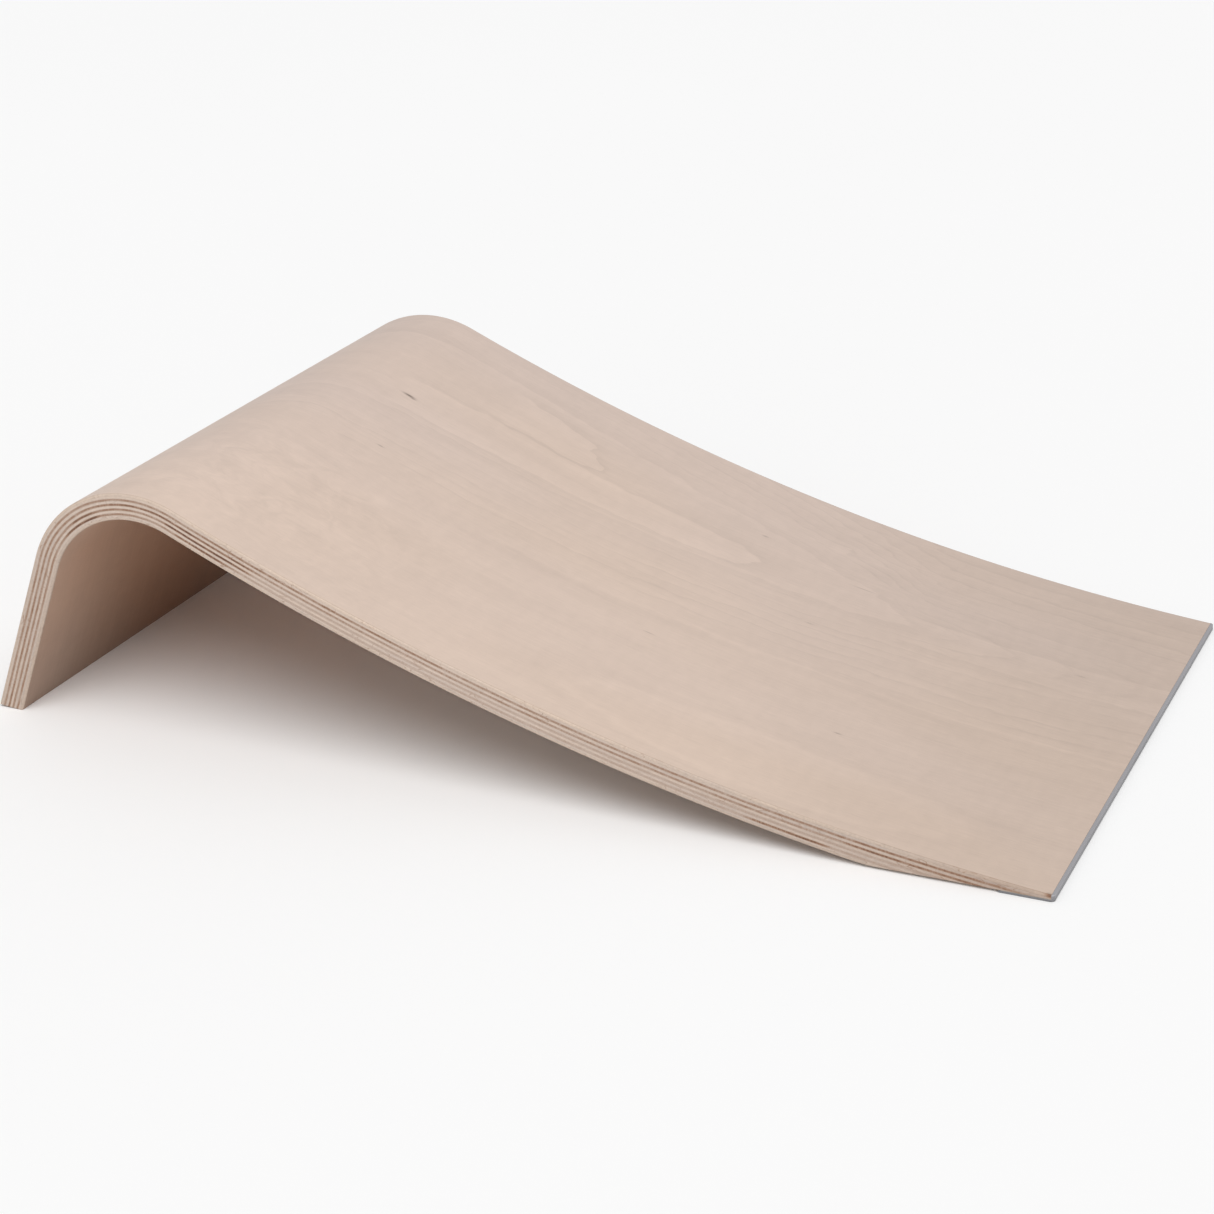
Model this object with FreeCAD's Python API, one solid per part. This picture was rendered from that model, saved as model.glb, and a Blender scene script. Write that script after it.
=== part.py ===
import FreeCAD, Part
import math
import os

# Transfer board: one moulded plywood sheet that is bent over a splayed leg and swept down in a long
# shallow curve to a thin tip, which a metal angle protects.
#
# Section plane: X runs along the board from the leg to the tip and Z is up. The section is drawn with
# its origin at the foot's inner corner on the floor, extruded along Y, and then moved so that the
# part's origin is the middle of its footprint on the floor.
# A heading is the direction in which the section runs, in degrees above +X.

# Driving dimensions, in millimetres and degrees.
board_width = 300.0
veneer_thickness = 1.17
leg_heading = 68.5
leg_straight = 89.0        # length of the leg's outer face up to the bend
foot_relief = 1.2          # how far the foot's outer corner stands off the floor
foot_flat = 1.25           # width of the flat that the foot stands on, at its inner corner
bend_angle = 93.0
bend_radius = 60.0         # on the outer face
deck_radius_upper = 1380.0 # on the top face, for the upper half of the deck
deck_length_upper = 216.0
deck_radius_lower = 1260.0
tip_height = 2.9           # top of the metal lip above the floor
heel_radius = 90.0         # where the planed underside runs into the curved one
heel_share = 0.95          # under 1, so that the heel's arc crosses the curved underside
arris_radius = 0.9         # easing of the board's four long edges
tip_corner_radius = 2.0    # rounding of the tip's two corners, seen from above
metal_thickness = 1.0      # of the flange under the tip
metal_lip = 1.5            # thickness of the lip over the tip's end grain
metal_flange = 24.0
metal_outer_radius = 0.5
metal_lip_radius = 0.35
tape_thickness = 0.2
tape_setback = 1.0         # how far the tape stays inside the flange's free edge

# Lay-up from the top face down. Face veneers and long-grain veneers run along the board.
lay_up = (
    "top_face_veneer",
    "long_grain_veneer_1",
    "cross_veneer_1",
    "long_grain_veneer_2",
    "cross_veneer_2",
    "long_grain_veneer_3",
    "cross_veneer_3",
    "long_grain_veneer_4",
    "cross_veneer_4",
    "long_grain_veneer_5",
    "under_face_veneer",
)

# Worked out from the driving dimensions.
board_thickness = veneer_thickness * len(lay_up)
planed_height = metal_thickness + tape_thickness
clear = 100.0              # how far construction shapes run past the board
same_place = 0.001         # points nearer than this are one point


def direction(heading):
    angle = math.radians(heading)
    return FreeCAD.Vector(math.cos(angle), 0.0, math.sin(angle))


def normal(heading):
    """Unit vector square to a heading, on the board's top side."""
    angle = math.radians(heading)
    return FreeCAD.Vector(-math.sin(angle), 0.0, math.cos(angle))


def dip_point(centre, radius, heading):
    """Point of an arc that curves upwards, where it has the given heading."""
    return centre - normal(heading) * radius


def heading_at_height(centre, radius, height):
    """Heading of a falling arc that curves upwards, where it passes a height."""
    return -math.degrees(math.acos((centre.z - height) / radius))


# The section's frame: corners, centres and headings of the top face.
foot_inner = FreeCAD.Vector(0.0, 0.0, 0.0)
leg_base = foot_inner + normal(leg_heading) * board_thickness
foot_outer = leg_base + direction(leg_heading) * (
    (foot_relief - leg_base.z) / direction(leg_heading).z)
leg_top = foot_outer + direction(leg_heading) * leg_straight
bend_centre = leg_top - normal(leg_heading) * bend_radius
deck_heading = leg_heading - bend_angle
deck_start = bend_centre + normal(deck_heading) * bend_radius
upper_centre = deck_start + normal(deck_heading) * deck_radius_upper
middle_heading = deck_heading + math.degrees(deck_length_upper / deck_radius_upper)
deck_middle = dip_point(upper_centre, deck_radius_upper, middle_heading)
lower_centre = deck_middle + normal(middle_heading) * deck_radius_lower
tip_heading = heading_at_height(lower_centre, deck_radius_lower, tip_height)
tip_x = dip_point(lower_centre, deck_radius_lower, tip_heading).x
wood_end_x = tip_x - metal_lip
bend_crown_z = bend_centre.z + bend_radius

# The planed underside starts where the board's curved underside would reach its height.
under_radius = deck_radius_lower + board_thickness
heel_heading = heading_at_height(lower_centre, under_radius, planed_height)
heel_x = dip_point(lower_centre, under_radius, heel_heading).x


def extruded(outline):
    """Solid of a closed outline in the section plane, as wide as the board."""
    return Part.Face(outline).extrude(FreeCAD.Vector(0.0, board_width, 0.0))


def line(start, end):
    return Part.LineSegment(start, end).toShape()


def layer_runs(depth):
    """Edges of the section at a depth below the top face, from under the foot to past the tip."""
    leg_from = foot_outer - normal(leg_heading) * depth - direction(leg_heading) * clear
    leg_to = leg_top - normal(leg_heading) * depth
    bend_middle = bend_centre + normal(leg_heading - bend_angle / 2) * (bend_radius - depth)
    bend_to = bend_centre + normal(deck_heading) * (bend_radius - depth)
    upper = deck_radius_upper + depth
    lower = deck_radius_lower + depth
    past_tip = middle_heading + math.degrees(
        (wood_end_x - deck_middle.x + clear) / deck_radius_lower)
    upper_half = dip_point(upper_centre, upper, (deck_heading + middle_heading) / 2)
    upper_to = dip_point(upper_centre, upper, middle_heading)
    lower_half = dip_point(lower_centre, lower, (middle_heading + past_tip) / 2)
    lower_to = dip_point(lower_centre, lower, past_tip)
    return (
        line(leg_from, leg_to),
        Part.Arc(leg_to, bend_middle, bend_to).toShape(),
        Part.Arc(bend_to, upper_half, upper_to).toShape(),
        Part.Arc(upper_to, lower_half, lower_to).toShape(),
    )


def first_point(edges):
    return edges[0].valueAt(edges[0].FirstParameter)


def last_point(edges):
    return edges[-1].valueAt(edges[-1].LastParameter)


def sheet_between(depth_above, depth_below):
    """Untrimmed sheet of the board between two depths below the top face."""
    above = layer_runs(depth_above)
    below = layer_runs(depth_below)
    foot_closing = line(first_point(above), first_point(below))
    tip_closing = line(last_point(above), last_point(below))
    outline = Part.Wire([*above, tip_closing, *reversed(below), foot_closing])
    return extruded(outline)


def trim_solid():
    """Everything that the saw and the plane leave: above the foot cut and the planed underside."""
    flat_edge = foot_inner - FreeCAD.Vector(foot_flat, 0.0, 0.0)
    foot_cut = foot_outer - flat_edge
    left = flat_edge + foot_cut * (clear / foot_cut.Length)
    right = foot_inner + FreeCAD.Vector(clear, 0.0, 0.0)
    flat_from = heel_x + heel_share * heel_radius * math.tan(math.radians(-heel_heading / 2))
    heel_centre = FreeCAD.Vector(flat_from, 0.0, planed_height + heel_radius)
    arc_from = dip_point(heel_centre, heel_radius, heel_heading)
    arc_half = dip_point(heel_centre, heel_radius, heel_heading / 2)
    arc_to = FreeCAD.Vector(flat_from, 0.0, planed_height)
    end_low = FreeCAD.Vector(wood_end_x, 0.0, planed_height)
    end_high = FreeCAD.Vector(wood_end_x, 0.0, bend_crown_z + clear)
    left_high = FreeCAD.Vector(left.x, 0.0, bend_crown_z + clear)
    outline = Part.Wire([
        line(left, flat_edge),
        line(flat_edge, right),
        line(right, arc_from),
        Part.Arc(arc_from, arc_half, arc_to).toShape(),
        line(arc_to, end_low),
        line(end_low, end_high),
        line(end_high, left_high),
        line(left_high, left),
    ])
    return extruded(outline)


def plan_solid():
    """Upright block with the tip's two corners rounded in plan."""
    block = Part.makeBox(
        tip_x + clear, board_width, bend_crown_z + 2 * clear, FreeCAD.Vector(-clear, 0.0, -clear))
    corners = [
        edge for edge in block.Edges
        if all(abs(v.X - tip_x) < same_place for v in edge.Vertexes)
        and abs(edge.Vertexes[0].Y - edge.Vertexes[1].Y) < same_place
    ]
    return block.makeFillet(tip_corner_radius, corners)


def long_arrises(sheet, depth):
    """Edges along both sides of an untrimmed sheet at a depth below the top face."""
    chosen = []
    for edge in sheet.Edges:
        points = [vertex.Point for vertex in edge.Vertexes]
        points.append(edge.valueAt((edge.FirstParameter + edge.LastParameter) / 2))
        on_side = all(abs(abs(p.y - board_width / 2) - board_width / 2) < same_place for p in points)
        if on_side and all(abs(depth_of(p) - depth) < same_place for p in points):
            chosen.append(edge)
    return chosen


def depth_of(point):
    """Depth of a point below the top face, measured square to the face."""
    flat = FreeCAD.Vector(point.x, 0.0, point.z)
    along = (flat - leg_top).dot(direction(leg_heading))
    if along < 0:
        return -(flat - leg_top).dot(normal(leg_heading))
    if (flat - bend_centre).dot(direction(deck_heading)) < 0:
        return bend_radius - (flat - bend_centre).Length
    if (flat - upper_centre).dot(direction(middle_heading)) < 0:
        return (flat - upper_centre).Length - deck_radius_upper
    return (flat - lower_centre).Length - deck_radius_lower


def make_veneer(index, trim, plan):
    above = index * veneer_thickness
    sheet = sheet_between(above, above + veneer_thickness)
    if index == 0:
        sheet = sheet.makeFillet(arris_radius, long_arrises(sheet, 0.0))
    if index == len(lay_up) - 1:
        sheet = sheet.makeFillet(arris_radius, long_arrises(sheet, board_thickness))
    return sheet.common(trim).common(plan).Solids[0]


def edges_across(solid, x, z):
    """Edges that run across the board at a place in the section."""
    return [
        edge for edge in solid.Edges
        if all(math.hypot(v.X - x, v.Z - z) < same_place for v in edge.Vertexes)
    ]


def make_edge_profile(plan):
    """Metal angle: a flange under the tip and a lip over its end grain, flush with the top face."""
    lip_drop = metal_lip * math.tan(math.radians(-tip_heading))
    corners = [
        FreeCAD.Vector(tip_x - metal_flange, 0.0, 0.0),
        FreeCAD.Vector(tip_x, 0.0, 0.0),
        FreeCAD.Vector(tip_x, 0.0, tip_height),
        FreeCAD.Vector(wood_end_x, 0.0, tip_height + lip_drop),
        FreeCAD.Vector(wood_end_x, 0.0, metal_thickness),
        FreeCAD.Vector(tip_x - metal_flange, 0.0, metal_thickness),
    ]
    angle = extruded(Part.makePolygon(corners + corners[:1]))
    angle = angle.makeFillet(metal_outer_radius, edges_across(angle, tip_x, 0.0))
    angle = angle.makeFillet(metal_lip_radius, edges_across(angle, tip_x, tip_height))
    return angle.common(plan).Solids[0]


def make_tape(plan):
    """Bonding tape that holds the metal angle under the board."""
    tape = Part.makeBox(
        metal_flange - metal_lip - tape_setback, board_width, tape_thickness,
        FreeCAD.Vector(tip_x - metal_flange + tape_setback, 0.0, metal_thickness))
    return tape.common(plan).Solids[0]


def build():
    trim = trim_solid()
    plan = plan_solid()
    nodes = {}
    for index, name in enumerate(lay_up):
        nodes[name] = make_veneer(index, trim, plan)
    nodes["edge_profile"] = make_edge_profile(plan)
    nodes["edge_bonding_tape"] = make_tape(plan)
    return nodes


os.makedirs("parts", exist_ok=True)
to_origin = FreeCAD.Vector(-(tip_x + foot_outer.x) / 2, -board_width / 2, 0.0)
for node, shape in build().items():
    shape.translate(to_origin)
    box = shape.BoundBox
    print("%-20s valid %s volume %9.1f  x %7.2f..%7.2f  z %6.2f..%6.2f" % (
        node, shape.isValid(), shape.Volume, box.XMin, box.XMax, box.ZMin, box.ZMax))
    shape.exportStep(os.path.join("parts", node + ".step"))
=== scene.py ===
import math

import bpy
from mathutils import Euler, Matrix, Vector


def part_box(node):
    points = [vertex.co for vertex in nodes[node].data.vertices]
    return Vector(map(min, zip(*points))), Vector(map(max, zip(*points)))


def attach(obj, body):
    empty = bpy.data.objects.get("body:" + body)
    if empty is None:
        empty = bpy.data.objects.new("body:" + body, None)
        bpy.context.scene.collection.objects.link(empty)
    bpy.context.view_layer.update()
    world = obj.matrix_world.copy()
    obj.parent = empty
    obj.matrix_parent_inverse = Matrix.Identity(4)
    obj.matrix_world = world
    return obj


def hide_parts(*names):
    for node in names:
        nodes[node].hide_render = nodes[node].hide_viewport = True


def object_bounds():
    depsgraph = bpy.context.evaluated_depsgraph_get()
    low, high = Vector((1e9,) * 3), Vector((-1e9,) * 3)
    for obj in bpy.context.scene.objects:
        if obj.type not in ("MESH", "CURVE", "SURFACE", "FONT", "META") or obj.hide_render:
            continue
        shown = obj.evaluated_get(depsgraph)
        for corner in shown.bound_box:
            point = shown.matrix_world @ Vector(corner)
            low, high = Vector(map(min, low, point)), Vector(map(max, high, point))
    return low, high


# Moulded plywood transfer board. Everything is in metres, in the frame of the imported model: X runs
# from the leg to the thin tip, Y across the board, Z up from the floor.
#
# Each veneer is its own piece. A point of the board is found from three lengths: how far it lies
# along the top face from the foot, how far across, and how deep below the top face. The same three
# lengths are kept on every mesh point as the attribute "wood", so that the grain follows the bend.

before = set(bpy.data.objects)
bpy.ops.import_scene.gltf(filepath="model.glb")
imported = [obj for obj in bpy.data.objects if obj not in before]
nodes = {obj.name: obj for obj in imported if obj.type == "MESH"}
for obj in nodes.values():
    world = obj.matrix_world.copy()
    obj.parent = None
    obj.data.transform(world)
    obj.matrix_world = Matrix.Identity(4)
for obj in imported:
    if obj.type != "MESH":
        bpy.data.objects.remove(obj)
cad_low, cad_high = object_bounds()

# ---------------------------------------------------------------- the board's section

VENEER = 0.00117
LAY_UP = (
    "top_face_veneer", "long_grain_veneer_1", "cross_veneer_1", "long_grain_veneer_2",
    "cross_veneer_2", "long_grain_veneer_3", "cross_veneer_3", "long_grain_veneer_4",
    "cross_veneer_4", "long_grain_veneer_5", "under_face_veneer",
)
THICKNESS = VENEER * len(LAY_UP)
HALF_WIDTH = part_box("top_face_veneer")[1].y
LEG_HEADING = math.radians(68.5)
LEG_STRAIGHT = 0.089
FOOT_RELIEF = 0.0012
FOOT_FLAT = 0.00125        # width of the flat that the foot stands on
BEND_ANGLE = math.radians(93.0)
BEND_RADIUS = 0.060
UPPER_RADIUS = 1.380
UPPER_LENGTH = 0.216
LOWER_RADIUS = 1.260
METAL = 0.0010             # flange of the metal edge
LIP = 0.0015               # lip of the metal edge
TAPE = 0.0002
PLANED_HEIGHT = METAL + TAPE
TIP_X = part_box("edge_profile")[1].x
TIP_HEIGHT = 0.0029
WOOD_END_X = TIP_X - LIP
TIP_CORNER = 0.002
ARRIS = 0.0009
HEEL_SOFTNESS = 0.0012     # how softly the planed underside runs into the curved one
FEATHER = 0.00004          # least thickness of a veneer where it runs out


def along(heading):
    return Vector((math.cos(heading), 0.0, math.sin(heading)))


def square(heading):
    """Unit vector square to a heading, on the board's top side."""
    return Vector((-math.sin(heading), 0.0, math.cos(heading)))


foot_outer = Vector((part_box("top_face_veneer")[0].x, 0.0, FOOT_RELIEF))
# Length along the leg at which its inner face meets the floor.
foot_rise = (THICKNESS * math.cos(LEG_HEADING) - FOOT_RELIEF) / math.sin(LEG_HEADING)
leg_top = foot_outer + along(LEG_HEADING) * LEG_STRAIGHT
bend_centre = leg_top - square(LEG_HEADING) * BEND_RADIUS
deck_heading = LEG_HEADING - BEND_ANGLE
deck_start = bend_centre + square(deck_heading) * BEND_RADIUS
upper_centre = deck_start + square(deck_heading) * UPPER_RADIUS
middle_heading = deck_heading + UPPER_LENGTH / UPPER_RADIUS
deck_middle = upper_centre - square(middle_heading) * UPPER_RADIUS
lower_centre = deck_middle + square(middle_heading) * LOWER_RADIUS
tip_heading = -math.acos((lower_centre.z - TIP_HEIGHT) / LOWER_RADIUS)

# Lengths along the top face at which the section changes.
BEND_AT = LEG_STRAIGHT
DECK_AT = BEND_AT + BEND_RADIUS * BEND_ANGLE
MIDDLE_AT = DECK_AT + UPPER_LENGTH
TIP_AT = MIDDLE_AT + LOWER_RADIUS * (tip_heading - middle_heading)


def top_point(s):
    """(point, heading) of the top face at a length along it from the foot's outer corner."""
    if s < BEND_AT:
        return foot_outer + along(LEG_HEADING) * s, LEG_HEADING
    if s < DECK_AT:
        heading = LEG_HEADING - (s - BEND_AT) / BEND_RADIUS
        return bend_centre + square(heading) * BEND_RADIUS, heading
    if s < MIDDLE_AT:
        heading = deck_heading + (s - DECK_AT) / UPPER_RADIUS
        return upper_centre - square(heading) * UPPER_RADIUS, heading
    heading = middle_heading + (s - MIDDLE_AT) / LOWER_RADIUS
    return lower_centre - square(heading) * LOWER_RADIUS, heading


def section_point(s, depth):
    point, heading = top_point(s)
    return point - square(heading) * depth


def depth_left(s):
    """Depth at which the planed underside cuts the board, with the heel rounded over."""
    if s < MIDDLE_AT:
        return THICKNESS
    point, heading = top_point(s)
    planed = (point.z - PLANED_HEIGHT) / math.cos(heading)
    blend = max(HEEL_SOFTNESS - abs(planed - THICKNESS), 0.0) / HEEL_SOFTNESS
    return min(planed, THICKNESS) - blend * blend * HEEL_SOFTNESS / 4


def find(low, high, is_past):
    """Where a test that is false at low and true at high starts to be true."""
    for _ in range(40):
        middle = (low + high) / 2
        if is_past(middle):
            high = middle
        else:
            low = middle
    return (low + high) / 2


def foot_at(depth):
    """Length at which the foot cut, or the flat at its inner corner, meets a depth."""
    flat = (math.cos(LEG_HEADING) * depth - FOOT_RELIEF) / math.sin(LEG_HEADING)
    inner_x = section_point(foot_rise, THICKNESS).x
    slope = FOOT_RELIEF / (foot_outer.x - inner_x + FOOT_FLAT)
    reach = math.sin(LEG_HEADING) - slope * math.cos(LEG_HEADING)
    slanted = (math.cos(LEG_HEADING) + slope * math.sin(LEG_HEADING)) * depth / reach
    return max(flat, slanted)


def wood_end_at(depth):
    """Length at which the wood's end, under the metal lip, meets a depth."""
    past_tip = TIP_AT + 2 * METAL
    return find(MIDDLE_AT, past_tip, lambda s: section_point(s, depth).x > WOOD_END_X)


def half_width_at(x):
    """Half the board's width, less the rounding of the tip's corners."""
    past = max(x - (TIP_X - TIP_CORNER), 0.0)
    return HALF_WIDTH - (TIP_CORNER - math.sqrt(max(TIP_CORNER ** 2 - past ** 2, 0.0)))


# ---------------------------------------------------------------- veneer meshes

EDGE, FACE, END, PLANED = range(4)
LEG_STEPS = 12
BEND_STEPS = 72
DECK_STEP = 0.0035
ACROSS_STEPS = 10
ARC_STEPS = 5


def deck_lengths(depth_above, depth_below):
    """Lengths of a veneer's stations on the deck, with one where the planed underside meets it."""
    runs_out = find(MIDDLE_AT, TIP_AT, lambda s: depth_left(s) < depth_above + FEATHER)
    full = find(MIDDLE_AT, TIP_AT, lambda s: depth_left(s) < depth_below)
    last = min(runs_out, wood_end_at(depth_above))
    marks = [DECK_AT, min(full, last), last]
    lengths = []
    for start, end in zip(marks, marks[1:]):
        count = max(math.ceil((end - start) / DECK_STEP), 1)
        lengths += [start + (end - start) * (k + 1) / count for k in range(count)]
    return lengths, last == runs_out


def arc(centre_y, centre_depth, radius, from_turns, to_turns):
    """(y, depth) of points round an arris. Turns are quarters, from the right, anticlockwise."""
    angles = [
        (from_turns + (to_turns - from_turns) * k / ARC_STEPS) * math.pi / 2
        for k in range(ARC_STEPS + 1)
    ]
    return [(centre_y + radius * math.cos(a), centre_depth - radius * math.sin(a)) for a in angles]


def loop_across(above, below, top_radius, low_radius):
    """(y, depth, material) round a veneer's cross-section, seen from the tip.

    The material is that of the face from this point to the next one."""
    w = HALF_WIDTH
    inner = w - 2 * ARRIS
    across = [-inner + 2 * inner * k / ACROSS_STEPS for k in range(ACROSS_STEPS + 1)]
    loop = []

    def corner(y, depth, radius, side_y, side_depth, quarter):
        """A rounded corner, or a single point where the veneer's edge is sharp."""
        if radius == 0.0:
            return [(y, depth)]
        return arc(y - side_y * radius, depth - side_depth * radius, radius, quarter, quarter - 1)

    low_left = corner(-w, below, low_radius, -1, 1, 3)
    top_left = corner(-w, above, top_radius, -1, -1, 2)
    top_right = corner(w, above, top_radius, 1, -1, 1)
    low_right = corner(w, below, low_radius, 1, 1, 0)
    loop += [(y, d, EDGE) for y, d in low_left + top_left[:-1]]
    loop += [top_left[-1] + (FACE,)]
    loop += [(y, above, FACE) for y in across]
    loop += [(y, d, EDGE) for y, d in top_right + low_right[:-1]]
    loop += [low_right[-1] + (PLANED,)]
    loop += [(y, below, PLANED) for y in reversed(across)]
    return loop


def veneer_mesh(index):
    above = index * VENEER
    below = above + VENEER
    top_radius = ARRIS if index == 0 else 0.0
    low_radius = ARRIS if index == len(LAY_UP) - 1 else 0.0
    loop = loop_across(above, below, top_radius, low_radius)
    deck, runs_out = deck_lengths(above, below)

    stations = []
    for k in range(LEG_STEPS):
        starts = [foot_at(d) for _, d, _ in loop]
        share = k / LEG_STEPS
        stations.append([
            (start + (BEND_AT - start) * share, y, d) for start, (y, d, _) in zip(starts, loop)])
    for k in range(BEND_STEPS + 1):
        s = BEND_AT + (DECK_AT - BEND_AT) * k / BEND_STEPS
        stations.append([(s, y, d) for y, d, _ in loop])
    ends = [deck[-1] if runs_out else wood_end_at(d) for _, d, _ in loop]
    for s in deck:
        limit = max(depth_left(s), above + FEATHER)
        share = (s - DECK_AT) / (deck[-1] - DECK_AT)
        stations.append([
            (DECK_AT + (end - DECK_AT) * share, y, min(d, limit)) for end, (y, d, _) in zip(ends, loop)])

    points = []
    lengths = []
    for row in stations:
        for s, y, d in row:
            place = section_point(s, d)
            widest = half_width_at(place.x)
            y = max(-widest, min(widest, y))
            points.append((place.x, y, place.z))
            lengths.append((s, y, d))

    size = len(loop)
    faces = []
    kinds = []
    for j in range(len(stations) - 1):
        s = stations[j][0][0]
        for i in range(size):
            n = (i + 1) % size
            faces.append((j * size + i, j * size + n, (j + 1) * size + n, (j + 1) * size + i))
            kind = loop[i][2]
            if kind == PLANED and depth_left(s) >= below:
                kind = FACE
            kinds.append(kind)
    last = (len(stations) - 1) * size
    faces.append(tuple(reversed(range(size))))
    faces.append(tuple(range(last, last + size)))
    kinds += [END, END]
    return points, faces, kinds, lengths


def mesh_object(name, points, faces, kinds, materials, smooth_under):
    """A closed mesh with one material per kind of face and edges sharp above an angle in degrees."""
    mesh = bpy.data.meshes.new(name)
    mesh.from_pydata(points, [], faces)
    for material in materials:
        mesh.materials.append(material)
    mesh.polygons.foreach_set("material_index", kinds)
    mesh.polygons.foreach_set("use_smooth", [True] * len(faces))
    mesh.set_sharp_from_angle(angle=math.radians(smooth_under))
    mesh.update()
    piece = bpy.data.objects.new(name, mesh)
    bpy.context.scene.collection.objects.link(piece)
    return piece


def keep_lengths(piece, lengths, layer):
    """Stores (length along, across, depth) and the veneer's number on the mesh, for the grain."""
    wood = piece.data.attributes.new("wood", "FLOAT_VECTOR", "POINT")
    wood.data.foreach_set("vector", [value for place in lengths for value in place])
    number = piece.data.attributes.new("layer", "FLOAT", "POINT")
    number.data.foreach_set("value", [float(layer)] * len(lengths))


# ---------------------------------------------------------------- shader building

class Shades:
    """Adds shader nodes to one new material. Each call returns the new node's output."""

    def __init__(self, name):
        self.material = bpy.data.materials.new(name)
        self.material.use_nodes = True
        self.tree = self.material.node_tree
        self.shader = self.tree.nodes["Principled BSDF"]

    def node(self, kind, inputs, **settings):
        node = self.tree.nodes.new(kind)
        for key, value in settings.items():
            setattr(node, key, value)
        for key, value in inputs.items():
            self.put(value, node.inputs[key])
        return node

    def put(self, value, socket):
        """Links an output to a socket, or sets the socket's own value. A colour is three numbers."""
        if isinstance(value, bpy.types.NodeSocket):
            self.tree.links.new(value, socket)
        elif socket.type == "RGBA":
            socket.default_value = (*value, 1.0)
        else:
            socket.default_value = value

    def math(self, operation, *values):
        return self.node("ShaderNodeMath", dict(enumerate(values)), operation=operation).outputs[0]

    def add(self, *values):
        total = values[0]
        for value in values[1:]:
            total = self.math("ADD", total, value)
        return total

    def times(self, *values):
        total = values[0]
        for value in values[1:]:
            total = self.math("MULTIPLY", total, value)
        return total

    def less(self, a, b):
        return self.math("SUBTRACT", a, b)

    def vector(self, x, y, z):
        return self.node("ShaderNodeCombineXYZ", {0: x, 1: y, 2: z}).outputs[0]

    def attribute(self, name):
        return self.node("ShaderNodeAttribute", {}, attribute_name=name)

    def wood(self):
        """(length along, across, depth, layer) sockets of the board."""
        split = self.node("ShaderNodeSeparateXYZ", {0: self.attribute("wood").outputs["Vector"]})
        layer = self.attribute("layer").outputs["Fac"]
        return split.outputs[0], split.outputs[1], split.outputs[2], layer

    def noise(self, place, detail=2.0, roughness=0.5, distortion=0.0):
        """Noise with a mean of about 0.5. place is already divided by the wanted sizes."""
        inputs = {"Vector": place, "Scale": 1.0, "Detail": detail, "Roughness": roughness,
                  "Distortion": distortion}
        return self.node("ShaderNodeTexNoise", inputs).outputs[0]

    def patches(self, a, long, b, wide, seed, detail=2.0, roughness=0.5, distortion=0.0):
        """Noise in patches of long by wide, in the units of a and b. seed picks another pattern."""
        place = self.vector(self.times(a, 1 / long), self.times(b, 1 / wide), seed)
        return self.noise(place, detail, roughness, distortion)

    def swing(self, noise, amount):
        """A noise's swing about its mean, times an amount."""
        return self.times(self.less(noise, 0.5), amount)

    def levelled(self, value, reach):
        """A value that grows ever more slowly, towards reach."""
        left = self.math("EXPONENT", self.times(value, -1 / reach))
        return self.times(self.less(1.0, left), reach)

    def span(self, value, low, high, to_low=0.0, to_high=1.0, smooth=True):
        """value from low..high moved to to_low..to_high, and held there."""
        inputs = {"Value": value, "From Min": low, "From Max": high,
                  "To Min": to_low, "To Max": to_high}
        kind = "SMOOTHSTEP" if smooth else "LINEAR"
        node = self.node("ShaderNodeMapRange", inputs, interpolation_type=kind, clamp=True)
        return node.outputs[0]

    def mound(self, s, y, at_s, at_y, long, wide):
        """A soft elliptical spot: 1 at its middle, falling to 0."""
        a = self.times(self.less(s, at_s), 1.0 / long)
        b = self.times(self.less(y, at_y), 1.0 / wide)
        square_sum = self.add(self.times(a, a), self.times(b, b))
        return self.math("EXPONENT", self.times(square_sum, -1.0))

    def mix(self, share, a, b):
        """Colour a where share is 0, colour b where it is 1."""
        node = self.tree.nodes.new("ShaderNodeMix")
        node.data_type = "RGBA"
        self.put(share, node.inputs[0])
        self.put(a, node.inputs[6])
        self.put(b, node.inputs[7])
        return node.outputs[2]

    def brighten(self, colour, factor):
        """Colour multiplied by a number."""
        node = self.tree.nodes.new("ShaderNodeVectorMath")
        node.operation = "SCALE"
        self.put(colour, node.inputs[0])
        self.put(factor, node.inputs["Scale"])
        return node.outputs[0]

    def relief(self, height, distance):
        """Bumps the surface by a height field from 0 to 1, at a height in metres."""
        bump = self.node("ShaderNodeBump", {"Height": height, "Distance": distance})
        self.put(bump.outputs[0], self.shader.inputs["Normal"])

    def surface(self, **values):
        """Sets the shader's sockets. Underscores in the names stand for spaces."""
        for key, value in values.items():
            self.put(value, self.shader.inputs[key.replace("_", " ")])
        return self.material


# ---------------------------------------------------------------- materials

LACQUER_IOR = 1.48
MM = 1000.0                # the grain is described in millimetres

# Growth rings of the top face run out in tongues towards the tip. In millimetres: where a tongue
# ends, its middle across the board, how that drifts per millimetre back from the end, its half width,
# how that grows, how blunt it is, where it starts, how far its paleness reaches in, and its contrast.
TONGUES = (
    (300.0, 85.0, 0.16, 13.0, 0.11, 9.0, 247.0, 60.0, 0.046),
    (406.0, 56.0, 0.00, 9.5, 0.06, 22.0, 200.0, 22.0, 0.040),
    (487.0, 53.0, 0.20, 6.0, 0.30, 30.0, 150.0, 10.0, 0.028),
    (700.0, 46.5, 0.00, 14.0, 0.00, 50.0, 495.0, 14.0, 0.026),
)
TONGUE_FLARE = 160.0       # how far back from its end a tongue goes on widening
DARK_REACH = 9.0           # how far a tongue darkens the wood round it
OUTER_TONGUE = 2           # the straight rings follow this one
RING_STEP = 5.0
RING_FADE = 80.0           # how fast the rings widen away from the tongues
CALM_BELOW = -16.0         # the near part of the sheet shows hardly any rings
OVAL_AT = (475.0, -120.0)  # middle of the long closed ring
OVAL_HALF = (99.0, 24.0)   # half its length and half its width
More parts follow.
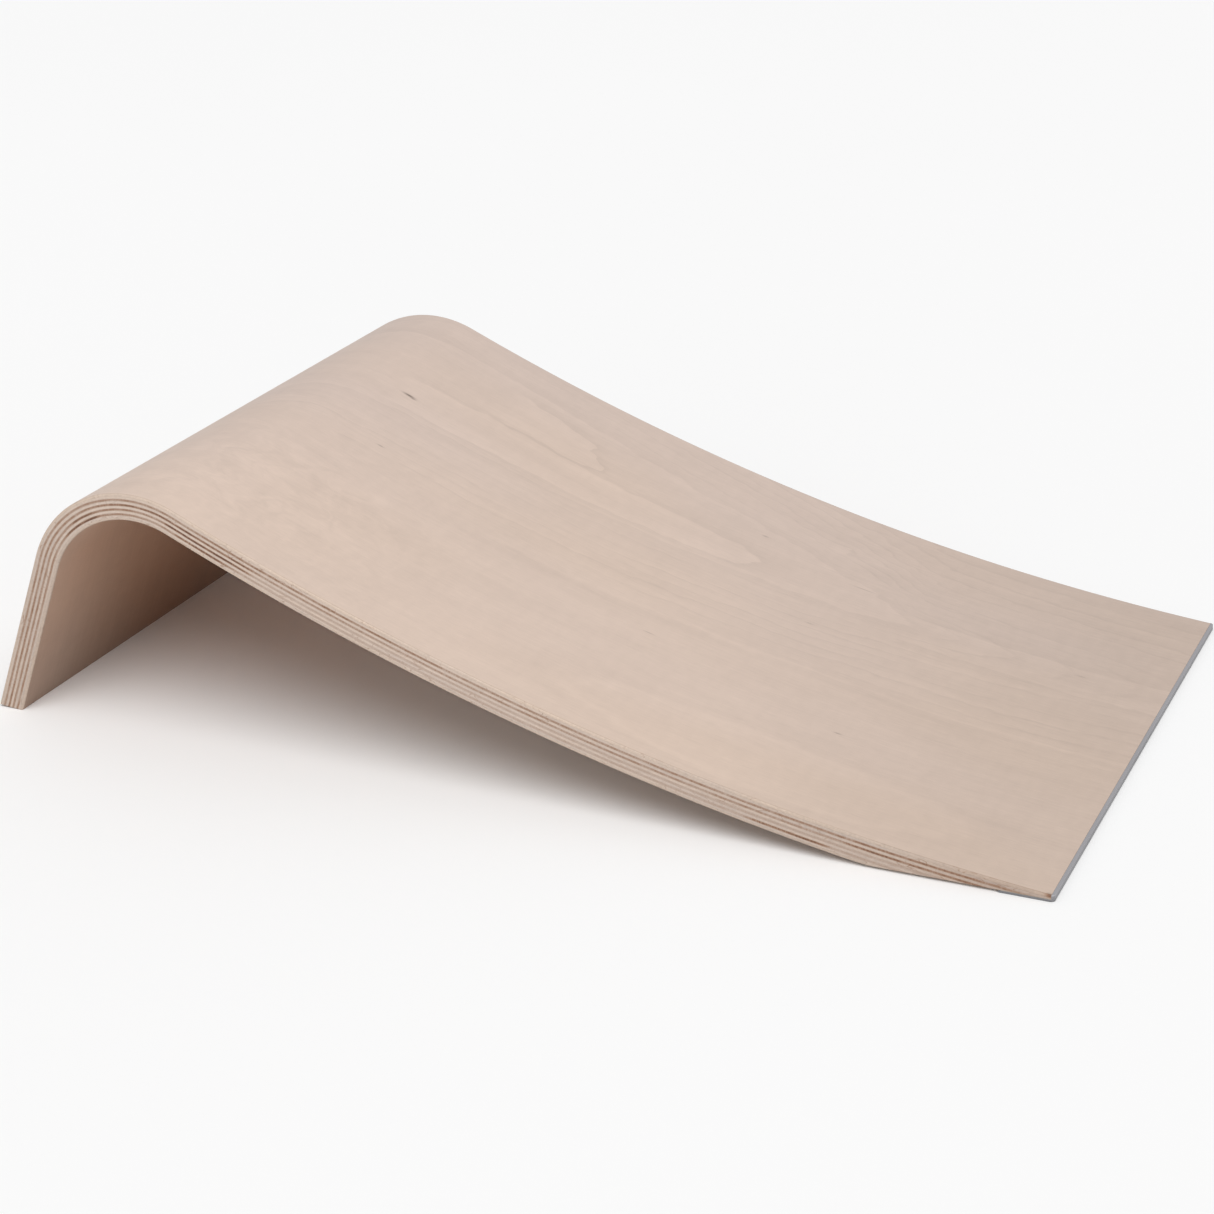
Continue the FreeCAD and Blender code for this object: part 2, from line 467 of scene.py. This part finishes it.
BOUNDARY_START = -42.7     # where the last clear ring would cross the foot
BOUNDARY_TILT = 0.033      # how it drifts across the board
CURL_AT = (205.0, -85.0)   # middle of the curly grain
CURL_SIZE = (80.0, 60.0)
DROOP_FROM = 245.0         # the grain droops towards the near side from here to the bend
DROOP_REACH = 26.0

# Pin knots and bark pockets of the top face: length along, across, length, width, darkness.
PIN_KNOTS = (
    (201.0, 51.0, 3.2, 0.85, 0.80), (204.0, 50.0, 1.6, 0.5, 0.50), (217.0, -7.0, 1.8, 0.5, 0.40),
    (397.0, 86.0, 1.6, 0.6, 0.35), (457.0, 71.0, 5.0, 0.4, 0.30), (576.0, 53.0, 2.4, 0.5, 0.22),
    (448.0, 17.0, 2.0, 0.5, 0.22), (391.0, -51.0, 2.6, 0.4, 0.28), (496.0, -73.0, 1.8, 0.5, 0.36),
    (617.0, -149.0, 1.5, 1.0, 0.35),
)


def outside_tongue(m, s, y, tip, middle, tilt, width, spread, blunt):
    """How far outside a tongue-shaped ring a place lies, measured across the grain."""
    behind = m.less(tip, s)
    eased = m.levelled(m.math("MAXIMUM", behind, 0.0), TONGUE_FLARE)
    centre = m.add(middle, m.times(eased, tilt))
    half = m.add(width, m.times(eased, spread))
    across = m.math("DIVIDE", m.less(y, centre), half)
    ahead = m.math("MAXIMUM", m.less(1.0, m.times(behind, 1 / blunt)), 0.0)
    reach = m.math("SQRT", m.add(m.times(across, across), m.times(ahead, ahead)))
    return m.times(m.less(reach, 1.0), half)


def tongue_tone(m, outside, pale_reach, contrast):
    """Paler towards the tongue's outline, with a sudden dark line that fades outwards."""
    paler = m.span(outside, -pale_reach, -0.6, 0.0, contrast)
    sudden = m.span(outside, -0.5, 0.5, 0.0, -2 * contrast)
    recovery = m.span(outside, 0.6, DARK_REACH, 0.0, contrast)
    return m.add(paler, sudden, recovery)


def ring_tones(m, outside, s, y):
    """Straight growth rings outside the tongues: each has a dark line and pales away from it."""
    height = m.times(m.levelled(outside, RING_FADE), 1 / RING_STEP)
    within = m.math("FRACT", height)
    ramp = m.less(m.span(within, 0.03, 1.0, 0.0, 1.0, False), 0.5)
    line = m.span(m.math("ABSOLUTE", m.less(within, 0.10)), 0.0, 0.12, 1.0, 0.0)
    strength = m.noise(m.vector(m.times(height, 0.6), m.times(s, 1 / 110.0), 5.5), 2.0)
    strength = m.times(m.span(strength, 0.36, 0.64, 0.1, 1.0), m.span(outside, 2.0, 7.0),
                       m.span(y, CALM_BELOW - 8.0, CALM_BELOW))
    return m.times(strength, m.less(m.times(ramp, 0.040), m.times(line, 0.034)))


def oval_tone(m, s, y):
    """A long closed ring in the near part of the sheet: a pale rim with a darker one round it."""
    a = m.times(m.less(s, OVAL_AT[0]), 1 / OVAL_HALF[0])
    b = m.times(m.less(y, OVAL_AT[1]), 1 / OVAL_HALF[1])
    reach = m.math("SQRT", m.add(m.times(a, a), m.times(b, b)))
    pale = m.span(m.math("ABSOLUTE", m.less(reach, 0.92)), 0.0, 0.14, 1.0, 0.0)
    dark = m.span(m.math("ABSOLUTE", m.less(reach, 1.12)), 0.0, 0.22, 1.0, 0.0)
    corner = m.times(m.span(m.math("ABSOLUTE", m.less(reach, 2.15)), 0.0, 0.22, 1.0, 0.0),
                     m.span(s, 520.0, 560.0))
    return m.less(m.times(pale, 0.024), m.times(m.add(dark, corner), 0.015))


def boundary_tone(m, s, y):
    """The last clear ring: a pale line along the board with a darker strip on its near side."""
    past = m.less(y, m.add(m.times(s, BOUNDARY_TILT), BOUNDARY_START))
    pale = m.span(m.math("ABSOLUTE", past), 0.0, 2.2, 0.034, 0.0)
    dark = m.times(m.span(past, -9.0, -4.5), m.span(past, -4.5, -1.5, -0.024, 0.0))
    return m.times(m.add(pale, dark), m.span(s, 270.0, 330.0))


def curl_tone(m, s, y):
    """Curly grain in the near corner by the bend."""
    swirl = m.patches(s, 22.0, y, 24.0, 61.0, 3.0, 0.55, 1.9)
    here = m.add(0.04, m.times(m.mound(s, y, *CURL_AT, *CURL_SIZE), 0.26))
    return m.times(m.less(swirl, 0.5), here)


def figure_tone(m, s, y):
    """All of the top face's figure, drawn on a grain that wanders a little and droops at the bend."""
    wander = m.patches(s, 95.0, y, 45.0, 3.1)
    ripple = m.patches(s, 16.0, y, 7.0, 8.4)
    droop = m.times(m.math("MAXIMUM", m.less(DROOP_FROM, s), 0.0), 1 / DROOP_REACH)
    sway = m.patches(s, 30.0, y, 14.0, 15.0)
    s = m.add(s, m.swing(sway, 34.0))
    y = m.add(y, m.swing(wander, 7.0), m.swing(ripple, 6.0),
              m.times(droop, droop))
    tone = m.add(oval_tone(m, s, y), curl_tone(m, s, y), boundary_tone(m, s, y))
    for number, (*shape, start, pale_reach, contrast) in enumerate(TONGUES):
        outside = outside_tongue(m, s, y, *shape)
        shown = m.span(s, start - 14.0, start + 4.0)
        tone = m.add(tone, m.times(tongue_tone(m, outside, pale_reach, contrast), shown))
        if number == OUTER_TONGUE:
            tone = m.add(tone, ring_tones(m, outside, s, y))
    return tone


def fibres(m, s, y, seed):
    """Fine fibre texture of a birch face, from about 0 to 1."""
    return m.patches(s, 9.0, y, 0.45, seed, 4.0, 0.65)


def pores(m, s, y, seed):
    """Short thin vessel lines of a birch face: 1 in a pore, 0 between them."""
    speck = m.patches(s, 2.4, y, 0.28, seed + 20.0, 1.0)
    patch = m.patches(s, 40.0, y, 9.0, seed + 30.0, 1.0)
    return m.times(m.span(speck, 0.66, 0.80), m.span(patch, 0.35, 0.65))


def birch_face(name, seed, colours, hue_drift, tone, knots):
    """Lacquered birch veneer seen from its face: faint figure, fibres, pores and pin knots.

    hue_drift is how fast its colour moves from the second colour to the first across the board."""
    m = Shades(name)
    s, y, _, _ = m.wood()
    s, y = m.times(s, MM), m.times(y, MM)
    fine = fibres(m, s, y, seed)
    pore = pores(m, s, y, seed)
    cloud = m.patches(s, 70.0, y, 16.0, seed + 7.0, 3.0)
    ripple = m.patches(s, 5.0, y, 14.0, seed + 12.0)
    streak = m.patches(s, 55.0, y, 1.6, seed + 16.0)
    hue = m.patches(s, 260.0, y, 110.0, seed + 3.0, 1.0)
    hue = m.add(m.span(hue, 0.3, 0.7, -0.25, 0.25), m.span(s, 120.0, 330.0, 0.15, 0.70),
                m.times(y, -hue_drift))
    colour = m.mix(hue, *colours)
    edge = m.span(m.math("ABSOLUTE", y), HALF_WIDTH * MM - 1.8, HALF_WIDTH * MM - 0.8, 0.0, -0.02)
    tone = m.add(tone(m, s, y), edge, m.swing(fine, 0.210),
                 m.swing(streak, 0.080), m.swing(cloud, 0.125),
                 m.swing(ripple, 0.070), m.times(pore, -0.08))
    if knots:
        tone = m.add(tone, figure_tone(m, s, y))
    colour = m.brighten(colour, tone)
    for at_s, at_y, long, wide, dark in knots:
        spot = m.times(m.mound(s, y, at_s, at_y, long, wide), dark)
        colour = m.mix(spot, colour, KNOT_BROWN)
    m.relief(m.less(fine, m.times(pore, 0.8)), 0.000012)
    return m.surface(Base_Color=colour, Roughness=m.add(0.42, m.times(fine, 0.12)), IOR=LACQUER_IOR)


KNOT_BROWN = (0.060, 0.034, 0.022)
# Slightly paler parts of the top face, partly its own colour and partly painted light on the bend:
# length along, across, length, width, how much paler.
PALE_PARTS_AND_LIGHT = (
    (140.0, -125.0, 50.0, 60.0, 0.03), (140.0, 110.0, 40.0, 90.0, 0.035),
    (470.0, -120.0, 80.0, 60.0, 0.025),
)
TOP_COLOURS = ((0.640, 0.516, 0.450), (0.645, 0.508, 0.418))
# The underside's colours are partly its own and partly painted shade, deepened to stand in for the shade
# under the board. The first, deeper and redder colour takes over towards the far side as painted shade.
UNDER_COLOURS_AND_SHADE = ((0.530, 0.302, 0.194), (0.500, 0.374, 0.296))
TOP_HUE_DRIFT = 0.0018     # per millimetre across the board
UNDER_SHADE_DRIFT = 0.0040


def top_tone_and_shade(m, s, y):
    """The sheet is a little deeper in colour towards the tip and the far side, partly its own colour and
    partly painted shade; the pale parts are partly painted light.
    """
    tone = m.add(m.span(s, 350.0, 610.0, 0.995, 0.885), m.times(y, -0.00030))
    for at_s, at_y, long, wide, paler in PALE_PARTS_AND_LIGHT:
        tone = m.add(tone, m.times(m.mound(s, y, at_s, at_y, long, wide), paler))
    return tone


def under_shade_and_light(m, s, y):
    """Painted shade and light: the underside is darker towards the foot, as painted shade near the
    floor, and paler along its near edge, as painted light coming in under the bend.
    """
    return m.times(m.span(s, 0.0, 95.0, 0.62, 1.0), m.span(y, -148.0, -90.0, 1.07, 1.0))


# Cut veneers. Side edges show long veneers along the grain and cross veneers as end grain.
CUT_LIGHT = (0.625, 0.510, 0.435)
CUT_CREAM = (0.650, 0.515, 0.415)
CUT_BROWN = (0.318, 0.180, 0.112)
CUT_DARK = (0.135, 0.060, 0.034)
TIP_BRUISE = 617.3         # where the near side edge has a small brown bruise
LEG_SHADE = 0.88           # the leg's edges are a little darker than the deck's
CROSS_CALM_AT = (215.0, 245.0)   # the cross veneers' edges calm down between these lengths
STRETCH_SOFT = 5.0         # most that a darker stretch's ends fade over
FAR_SIDE_SHIFT = 0.23      # the far edge shows other stretches of the grain than the near one


def along_edge(m, s, y):
    """Length along the board, in millimetres, moved on at the far edge."""
    return m.times(m.add(s, m.times(m.math("GREATER_THAN", y, 0.0), FAR_SIDE_SHIFT)), MM)


def edge_tone_and_shade(m, s):
    """The cut edges are palest on the bend and deepen towards the foot and the tip, partly their own
    colour and partly painted shade.
    """
    return m.times(m.span(s, 60.0, 150.0, LEG_SHADE, 1.0), m.span(s, 330.0, 600.0, 1.0, 0.84))


def darkened(m, colour, dark):
    """Cut wood from its light colour through brown to nearly black, as dark goes from 0 to 1."""
    browned = m.mix(m.math("MINIMUM", m.times(dark, 1 / 0.6), 1.0), colour, CUT_BROWN)
    return m.mix(m.span(dark, 0.6, 1.0, 0.0, 1.0, False), browned, CUT_DARK)


def glue_lines(m, depth):
    """1 on the thin glue lines between veneers, 0 inside them."""
    within = m.math("FRACT", m.times(depth, 1 / VENEER))
    from_line = m.math("MINIMUM", within, m.less(1.0, within))
    return m.span(from_line, 0.0, 0.10, 1.0, 0.0)


def cracks(m, s, depth, layer):
    """Thin sanding cracks and fibre breaks that cross a veneer's edge."""
    bent = m.noise(m.vector(m.times(s, 1 / 9.0), m.times(depth, 0.35), m.times(layer, 5.1)), 1.0)
    near = m.math("ABSOLUTE", m.less(bent, 0.5))
    here = m.noise(m.vector(m.times(s, 1 / 30.0), m.times(layer, 3.3), 2.0), 1.0)
    crack = m.times(m.span(near, 0.0, 0.018, 1.0, 0.0), m.span(here, 0.45, 0.62))
    return m.times(crack, m.span(depth, 0.2, 1.0, 0.35, 1.0))


def long_grain_edge(name, cream):
    """Side edge of the veneers that run along the board: pale, streaked, with a few cracks."""
    m = Shades(name)
    s, y, depth, layer = m.wood()
    s = along_edge(m, s, y)
    glue = glue_lines(m, depth)
    depth = m.times(depth, MM)
    streak = m.patches(s, 28.0, depth, 0.22, m.times(layer, 7.3), 3.0)
    patch = m.noise(m.vector(m.times(s, 1 / 60.0), m.times(layer, 4.7), 1.0), 2.0)
    fuzz = m.patches(s, 1.1, depth, 0.6, m.times(layer, 2.9))
    nicks = m.patches(s, 3.2, depth, 2.0, m.times(layer, 6.1))
    crack = cracks(m, s, depth, layer)
    colour = m.mix(m.add(cream, m.span(patch, 0.3, 0.7, -0.3, 0.3)), CUT_LIGHT, CUT_CREAM)
    tone = m.add(edge_tone_and_shade(m, s), m.swing(streak, 0.30),
                 m.swing(patch, 0.14), m.swing(fuzz, 0.34),
                 m.swing(nicks, 0.22))
    # Painted shade: the edge is up to 4% darker along its top millimetre, the rounded arris, to tone
    # down the light that the arris catches.
    arris_shade = m.span(depth, 0.1, 1.0, -0.04, 0.0)
    low = m.span(depth, 10.0, 12.8, 0.0, -0.07)
    colour = m.brighten(colour, m.add(tone, arris_shade, low))
    bruise = m.times(m.mound(s, depth, TIP_BRUISE, 0.4, 1.8, 0.8), 0.75)
    # dark also deepens the long edges towards the tip, partly their own colour and partly painted shade.
    dark = m.add(m.times(crack, 0.42), m.times(glue, 0.16), m.span(nicks, 0.60, 0.78, 0.0, 0.16), bruise,
                 m.span(s, 540.0, 600.0, 0.0, 0.14))
    m.relief(m.less(streak, crack), 0.00004)
    return m.surface(Base_Color=darkened(m, colour, dark), Roughness=0.55, IOR=LACQUER_IOR)


def cross_grain_edge(name, number, calm, calm_past, stretches):
    """Side edge of a veneer that runs across the board: end grain that took up the lacquer unevenly.

    calm is its usual darkness, calm_past the one beyond 230 mm, and each stretch is
    (from, to, darkness) in millimetres along the board."""
    m = Shades(name)
    s, y, depth, _ = m.wood()
    s = along_edge(m, s, y)
    glue = glue_lines(m, depth)
    within = m.less(m.math("FRACT", m.times(depth, 1 / VENEER)), 0.5)
    depth = m.times(depth, MM)
    sway = m.noise(m.vector(m.times(s, 1 / 14.0), number * 3.7, 4.0), 2.0)
    within = m.math("ABSOLUTE", m.add(within, m.swing(sway, 0.5)))
    core = m.span(within, 0.12, 0.62, 1.15, 0.45)
    ticks = m.patches(s, 0.8, depth, 2.5, number * 5.3, 2.0, 0.6)
    blots = m.patches(s, 7.0, depth, 3.0, number * 2.3)
    dark = m.span(s, *CROSS_CALM_AT, calm, calm_past)
    for start, end, darker in stretches:
        soft = min(STRETCH_SOFT, (end - start) / 3)
        inside = m.times(m.span(s, start - soft, start + soft),
                         m.span(s, end - soft, end + soft, 1.0, 0.0))
        dark = m.add(dark, m.times(inside, darker))
    vary = m.add(m.span(ticks, 0.25, 0.75, 0.62, 1.3, False),
                 m.span(blots, 0.3, 0.7, -0.25, 0.25, False))
    dark = m.times(dark, core, vary)
    pore = m.patches(s, 0.16, depth, 0.16, number * 9.1, 0.0)
    dark = m.add(dark, m.span(pore, 0.62, 0.75, 0.0, 0.25), m.times(glue, 0.18))
    colour = darkened(m, m.brighten(CUT_LIGHT, edge_tone_and_shade(m, s)), dark)
    m.relief(m.less(ticks, pore), 0.00005)
    return m.surface(Base_Color=colour, Roughness=0.62, IOR=LACQUER_IOR)


def foot_cut(name, end_grain):
    """The sawn foot: long veneers show their end grain there, cross veneers their long grain."""
    m = Shades(name)
    _, y, depth, layer = m.wood()
    glue = glue_lines(m, depth)
    y, depth = m.times(y, MM), m.times(depth, MM)
    saw = m.patches(y, 1.1, depth, 20.0, 6.0)
    streak = m.patches(y, 20.0, depth, 0.2, m.times(layer, 7.3), 3.0)
    speck = m.patches(y, 0.2, depth, 0.2, layer, 0.0)
    grime = m.patches(y, 45.0, depth, 6.0, 2.0, 3.0)
    if end_grain:
        dark = m.add(0.42, m.span(speck, 0.55, 0.75, 0.0, 0.3), m.swing(saw, 0.4))
    else:
        dark = m.add(0.10, m.swing(streak, 0.4), m.swing(saw, 0.2))
    dark = m.add(dark, m.times(glue, 0.2), m.swing(grime, 0.3))
    m.relief(saw, 0.00006)
    return m.surface(Base_Color=darkened(m, CUT_LIGHT, dark), Roughness=0.65, IOR=LACQUER_IOR)


def planed_veneer(name, across):
    """A veneer cut at a slant by the planed underside, with the plane's faint chatter across it."""
    m = Shades(name)
    s, y, _, layer = m.wood()
    s, y = m.times(s, MM), m.times(y, MM)
    run, other = (y, s) if across else (s, y)
    streak = m.patches(run, 16.0, other, 0.5, m.times(layer, 7.3), 4.0)
    chatter = m.patches(s, 1.6, y, 120.0, 3.0, 1.0)
    patch = m.patches(s, 25.0, y, 60.0, m.times(layer, 4.1))
    base = 0.20 if across else 0.04
    dark = m.add(base, m.swing(streak, 0.28), m.swing(patch, 0.16),
                 m.swing(chatter, 0.10))
    m.relief(m.add(streak, chatter), 0.00003)
    return m.surface(Base_Color=darkened(m, CUT_LIGHT, dark), Roughness=0.55, IOR=LACQUER_IOR)


# How dark each cross veneer's edge is, up to 230 mm along the board and past it, and its darker
# stretches.
CROSS_EDGES = {
    "cross_veneer_1": (0.42, 0.40, ((210, 330, 0.10), (520, 600, 0.14))),
    "cross_veneer_2": (0.50, 0.38, ((150, 230, 0.16), (530, 590, 0.22))),
    "cross_veneer_3": (0.44, 0.20, ((120, 140, 0.26), (185, 230, 0.38))),
    "cross_veneer_4": (0.42, 0.20, ((115, 140, 0.42), (190, 220, 0.34), (485, 520, 0.46))),
}

face_birch = birch_face("birch_top_face", 0.0, TOP_COLOURS, TOP_HUE_DRIFT, top_tone_and_shade, PIN_KNOTS)
under_birch = birch_face("birch_under_face", 40.0, UNDER_COLOURS_AND_SHADE, UNDER_SHADE_DRIFT, under_shade_and_light, ())
cream_side = long_grain_edge("face_veneer_side", 0.85)
long_side = long_grain_edge("long_veneer_side", 0.25)
long_end = foot_cut("long_veneer_end", True)
cross_end = foot_cut("cross_veneer_end", False)
long_planed = planed_veneer("long_veneer_planed", False)
cross_planed = planed_veneer("cross_veneer_planed", True)

# ---------------------------------------------------------------- the veneers

def veneer_materials(name):
    """Materials of a veneer's side edges, faces, ends and planed underside."""
    if name in CROSS_EDGES:
        side = cross_grain_edge(name + "_side", float(name[-1]), *CROSS_EDGES[name])
        return [side, face_birch, cross_end, cross_planed]
    face = under_birch if name == "under_face_veneer" else face_birch
    side = cream_side if name.endswith("face_veneer") else long_side
    return [side, face, long_end, long_planed]


for index, name in enumerate(LAY_UP):
    points, faces, kinds, lengths = veneer_mesh(index)
    piece = mesh_object("laid_" + name, points, faces, kinds, veneer_materials(name), 40.0)
    keep_lengths(piece, lengths, index)
    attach(piece, "root")
    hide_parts(name)

# ---------------------------------------------------------------- the metal edge

FLANGE = 0.024
OUTER_ROUND = 0.0005
LIP_ROUND = 0.00035
BURR_BEVEL = 0.00012
ROUND_STEPS = 5
METAL_ACROSS_STEPS = 24
ALUMINIUM = (0.345, 0.340, 0.355)
FOIL_GREY = (0.30, 0.28, 0.25)
FOIL_PEBBLE = 0.6          # size of the foil's pebbling, in millimetres


def rounded_corner(x, z, side_x, side_z, radius):
    """(x, z) points round a corner of the metal section, from its level face to its upright one."""
    points = []
    for k in range(ROUND_STEPS + 1):
        angle = math.pi / 2 * k / ROUND_STEPS
        points.append((x - side_x * radius * (1 - math.sin(angle)),
                       z - side_z * radius * (1 - math.cos(angle))))
    return points


def metal_section():
    """Matching low and high points of the metal angle's section, from the flange to the lip."""
    lip_drop = LIP * math.tan(-tip_heading)
    start = TIP_X - FLANGE
    flat_end = TIP_X - TIP_CORNER
    low = [(start, 0.0), (flat_end, 0.0), (WOOD_END_X, 0.0)]
    low += rounded_corner(TIP_X, 0.0, 1, -1, OUTER_ROUND)
    high = [(start, METAL), (flat_end, METAL), (WOOD_END_X, METAL)]
    high += [(WOOD_END_X, TIP_HEIGHT + lip_drop)]
    high += rounded_corner(TIP_X, TIP_HEIGHT, 1, 1, LIP_ROUND)
    return low, high


def metal_mesh():
    low, high = metal_section()
    inner_corner = high[2]
    section = low + high[::-1]
    size = len(section)
    points = []
    for k in range(METAL_ACROSS_STEPS + 1):
        share = -1 + 2 * k / METAL_ACROSS_STEPS
        points += [(x, share * half_width_at(x), z) for x, z in section]
    faces = []
    for k in range(METAL_ACROSS_STEPS):
        for i in range(size):
            n = (i + 1) % size
            faces.append((k * size + i, (k + 1) * size + i, (k + 1) * size + n, k * size + n))

    def cap(first, flip):
        """Strips between the low and high points of one cut end."""
        number = {place: first + i for i, place in enumerate(section)}
        lip = [place for place in high if place != inner_corner]
        strips = [(low[0], low[1], high[1], high[0]),
                  (low[1], low[2], inner_corner, high[1]),
                  (low[2], low[3], lip[3], lip[2], inner_corner)]
        strips += [(low[i], low[i + 1], lip[i + 1], lip[i]) for i in range(3, len(low) - 1)]
        for strip in strips:
            corners = [number[place] for place in strip]
            faces.append(tuple(corners[::-1] if flip else corners))

    cap(0, False)
    cap(METAL_ACROSS_STEPS * size, True)
    return points, faces


def satin_aluminium():
    """Anodised aluminium, brushed along the angle and scuffed, darker towards the bottom and with a
    painted highlight along the top of the lip.
    """
    m = Shades("satin_aluminium")
    split = m.node("ShaderNodeSeparateXYZ", {0: m.node("ShaderNodeTexCoord", {}).outputs["Object"]})
    x, y, z = [m.times(socket, MM) for socket in split.outputs]
    brush = m.patches(x, 0.12, y, 22.0, m.times(z, 1 / 0.12), 3.0)
    scuff = m.patches(x, 3.0, y, 1.4, m.times(z, 1 / 1.0), 3.0, 0.7)
    patch = m.patches(x, 9.0, y, 38.0, m.times(z, 1 / 9.0))
    top = TIP_HEIGHT * MM
    # Darker towards the bottom, and a painted highlight along the top of the lip.
    tone = m.add(m.span(z, 0.0, top - 0.5, 0.66, 0.88), m.span(z, top - 0.6, top, 0.0, 0.42),
                 m.swing(brush, 0.22),
                 m.swing(patch, 0.22), m.span(scuff, 0.62, 0.72, 0.0, -0.10))
    colour = m.brighten(ALUMINIUM, tone)
    m.relief(m.add(brush, m.times(scuff, 0.5)), 0.00001)
    return m.surface(Base_Color=colour, Metallic=0.55, Roughness=m.span(scuff, 0.3, 0.7, 0.48, 0.60))


def bonding_foil():
    """Grey adhesive foil, faintly pebbled."""
    m = Shades("bonding_foil")
    place = m.node("ShaderNodeTexCoord", {}).outputs["Object"]
    pebble = m.noise(m.node("ShaderNodeVectorMath", {0: place, "Scale": MM / FOIL_PEBBLE},
                            operation="SCALE").outputs[0], 2.0)
    colour = m.brighten(FOIL_GREY, m.add(0.85, m.times(pebble, 0.3)))
    m.relief(pebble, 0.00002)
    return m.surface(Base_Color=colour, Roughness=0.7)


def add_metal_edge():
    points, faces = metal_mesh()
    edge = mesh_object("metal_edge", points, faces, [0] * len(faces), [satin_aluminium()], 35.0)
    bevel = edge.modifiers.new("broken edges", "BEVEL")
    bevel.width = BURR_BEVEL
    bevel.segments = 2
    bevel.limit_method = "ANGLE"
    bevel.angle_limit = math.radians(50.0)
    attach(edge, "root")
    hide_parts("edge_profile")


add_metal_edge()
tape = nodes["edge_bonding_tape"].data
tape.materials.clear()
tape.materials.append(bonding_foil())

# ---------------------------------------------------------------- floor, light and camera

FLOOR_SIZE = 60.0
FLOOR_GAP = 0.0001         # how far the floor lies under the foot
FLOOR_WHITE = (0.95, 0.95, 0.95)
SKY_STRENGTH = 0.50
SUN_DIRECTION = (0.35, -0.50, 1.0)
SUN_STRENGTH = 0.60
SUN_SPREAD = 50.0          # degrees
CAMERA_AT = (0.49629, -1.07075, 0.53683)
CAMERA_ANGLES = (66.851, 1.634, 24.366)
LENS = 77.03


def pale_floor():
    m = Shades("pale_floor")
    place = m.node("ShaderNodeTexCoord", {}).outputs["Object"]
    patch = m.noise(place, 2.0)
    colour = m.brighten(FLOOR_WHITE, m.add(0.99, m.times(patch, 0.02)))
    return m.surface(Base_Color=colour, Roughness=0.9)


def add_floor():
    half = FLOOR_SIZE / 2
    corners = [(-half, -half, 0.0), (half, -half, 0.0), (half, half, 0.0), (-half, half, 0.0)]
    floor = mesh_object("floor", corners, [(0, 1, 2, 3)], [0], [pale_floor()], 30.0)
    floor.location.z = cad_low.z - FLOOR_GAP


def add_sun(direction, strength, spread):
    """A very large soft lamp far away. strength is the brightness that it gives a white wall."""
    light = bpy.data.lights.new("key", "SUN")
    light.energy = strength * math.pi
    light.angle = math.radians(spread)
    lamp = bpy.data.objects.new("key", light)
    lamp.rotation_euler = Vector(direction).to_track_quat("Z", "Y").to_euler()
    bpy.context.scene.collection.objects.link(lamp)


def add_sky(strength):
    world = bpy.data.worlds.new("studio")
    world.use_nodes = True
    sky = world.node_tree.nodes["Background"]
    sky.inputs["Color"].default_value = (1.0, 1.0, 1.0, 1.0)
    sky.inputs["Strength"].default_value = strength
    bpy.context.scene.world = world


def add_camera():
    lens = bpy.data.cameras.new("camera")
    lens.lens = LENS
    lens.sensor_width = 36.0
    lens.clip_start = 0.05
    camera = bpy.data.objects.new("camera", lens)
    camera.location = CAMERA_AT
    camera.rotation_euler = Euler([math.radians(a) for a in CAMERA_ANGLES])
    bpy.context.scene.collection.objects.link(camera)
    bpy.context.scene.camera = camera


add_floor()
add_sky(SKY_STRENGTH)
add_sun(SUN_DIRECTION, SUN_STRENGTH, SUN_SPREAD)
add_camera()
bpy.context.scene.view_settings.view_transform = "Standard"
